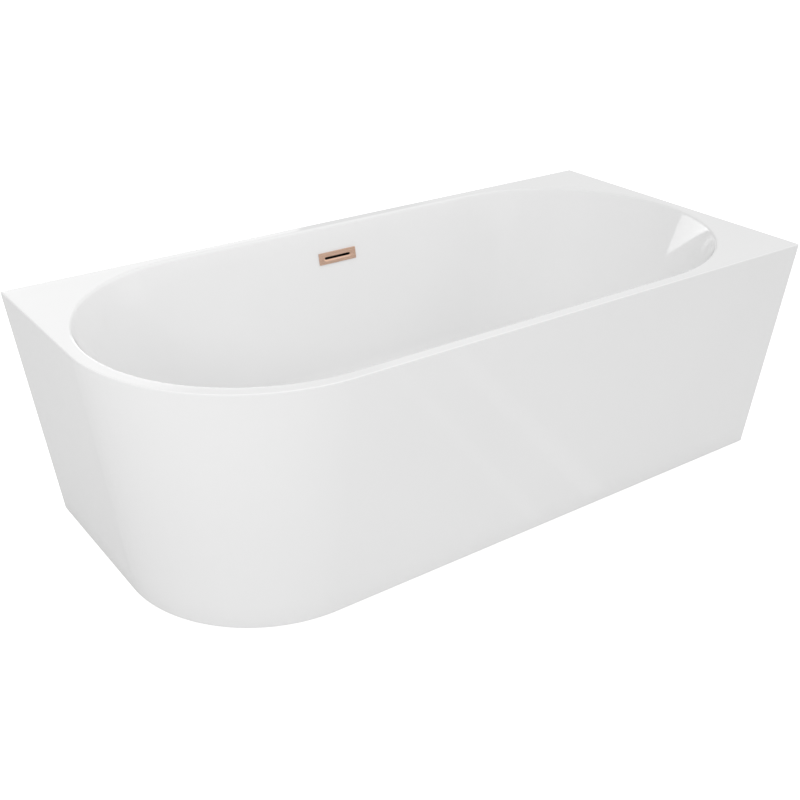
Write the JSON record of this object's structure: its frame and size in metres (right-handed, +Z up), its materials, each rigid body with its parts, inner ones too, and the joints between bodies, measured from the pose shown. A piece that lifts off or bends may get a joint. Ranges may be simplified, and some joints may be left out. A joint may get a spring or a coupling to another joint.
{
  "type": "freestanding bathtub",
  "caption": "Double-ended bathtub with a flat deck, a stadium-shaped basin, one rounded outer corner and two straight wall sides, on levelling feet with waste and overflow.",
  "frame": {"origin": "on the floor under the middle of the tub's outline, at the feet's lower faces", "axes": "+X along the tub towards the end that stands against a wall, +Y towards the long wall side, +Z up"},
  "size_m": [1.7, 0.82, 0.588],
  "materials": {
    "acrylic": "high-gloss white sanitary acrylic",
    "rose_gold": "satin rose gold plating",
    "steel": "galvanised",
    "chrome": "polished",
    "board": "resin-coated fibre board",
    "rubber": "matte black",
    "white_plastic": "satin white polypropylene",
    "grey_plastic": "satin grey polypropylene",
    "black_plastic": "satin black polypropylene"
  },
  "bodies": {
    "root": {"basin_shell": "acrylic", "outer_skirt": "acrylic", "base_board": "board", "frame_rail_front": "steel", "frame_rail_back": "steel", "frame_cross_left": "steel", "frame_cross_middle": "steel", "frame_cross_right": "steel", "foot_nut_1": "steel", "lock_nut_1": "steel", "foot_nut_2": "steel", "lock_nut_2": "steel", "foot_nut_3": "steel", "lock_nut_3": "steel", "foot_nut_4": "steel", "lock_nut_4": "steel", "foot_nut_5": "steel", "lock_nut_5": "steel", "foot_nut_6": "steel", "lock_nut_6": "steel", "waste_flange": "rose_gold", "overflow_plate": "rose_gold", "waste_gasket": "rubber", "overflow_gasket": "rubber", "plug_guide": "white_plastic", "waste_body": "white_plastic", "trap_body": "white_plastic", "trap_cup": "white_plastic", "outlet_pipe": "white_plastic", "overflow_housing": "black_plastic", "trap_nut": "grey_plastic", "outlet_nut": "grey_plastic", "overflow_hose": "grey_plastic", "hose_nut_top": "grey_plastic", "hose_nut_bottom": "grey_plastic", "frame_screw_1": "steel", "frame_screw_2": "steel", "frame_screw_3": "steel", "frame_screw_4": "steel", "frame_screw_5": "steel", "frame_screw_6": "steel"},
    "foot_1": {"foot_pad_1": "rubber", "foot_rod_1": "steel"},
    "foot_2": {"foot_pad_2": "rubber", "foot_rod_2": "steel"},
    "foot_3": {"foot_pad_3": "rubber", "foot_rod_3": "steel"},
    "foot_4": {"foot_pad_4": "rubber", "foot_rod_4": "steel"},
    "foot_5": {"foot_pad_5": "rubber", "foot_rod_5": "steel"},
    "foot_6": {"foot_pad_6": "rubber", "foot_rod_6": "steel"},
    "plug": {"waste_plug": "rose_gold", "plug_seal": "rubber", "plug_stem": "chrome"}
  },
  "joints": [
    {"name": "foot_1_level", "type": "slide", "parent": "root", "child": "foot_1", "axis": [0, 0, -1], "range_m": [-0.008, 0.03]},
    {"name": "foot_2_level", "type": "slide", "parent": "root", "child": "foot_2", "axis": [0, 0, -1], "range_m": [-0.008, 0.03]},
    {"name": "foot_3_level", "type": "slide", "parent": "root", "child": "foot_3", "axis": [0, 0, -1], "range_m": [-0.008, 0.03]},
    {"name": "foot_4_level", "type": "slide", "parent": "root", "child": "foot_4", "axis": [0, 0, -1], "range_m": [-0.008, 0.03]},
    {"name": "foot_5_level", "type": "slide", "parent": "root", "child": "foot_5", "axis": [0, 0, -1], "range_m": [-0.008, 0.03]},
    {"name": "foot_6_level", "type": "slide", "parent": "root", "child": "foot_6", "axis": [0, 0, -1], "range_m": [-0.008, 0.03]},
    {"name": "plug_lift", "type": "slide", "parent": "root", "child": "plug", "axis": [0, 0, 1], "range_m": [0, 0.01]}
  ]
}
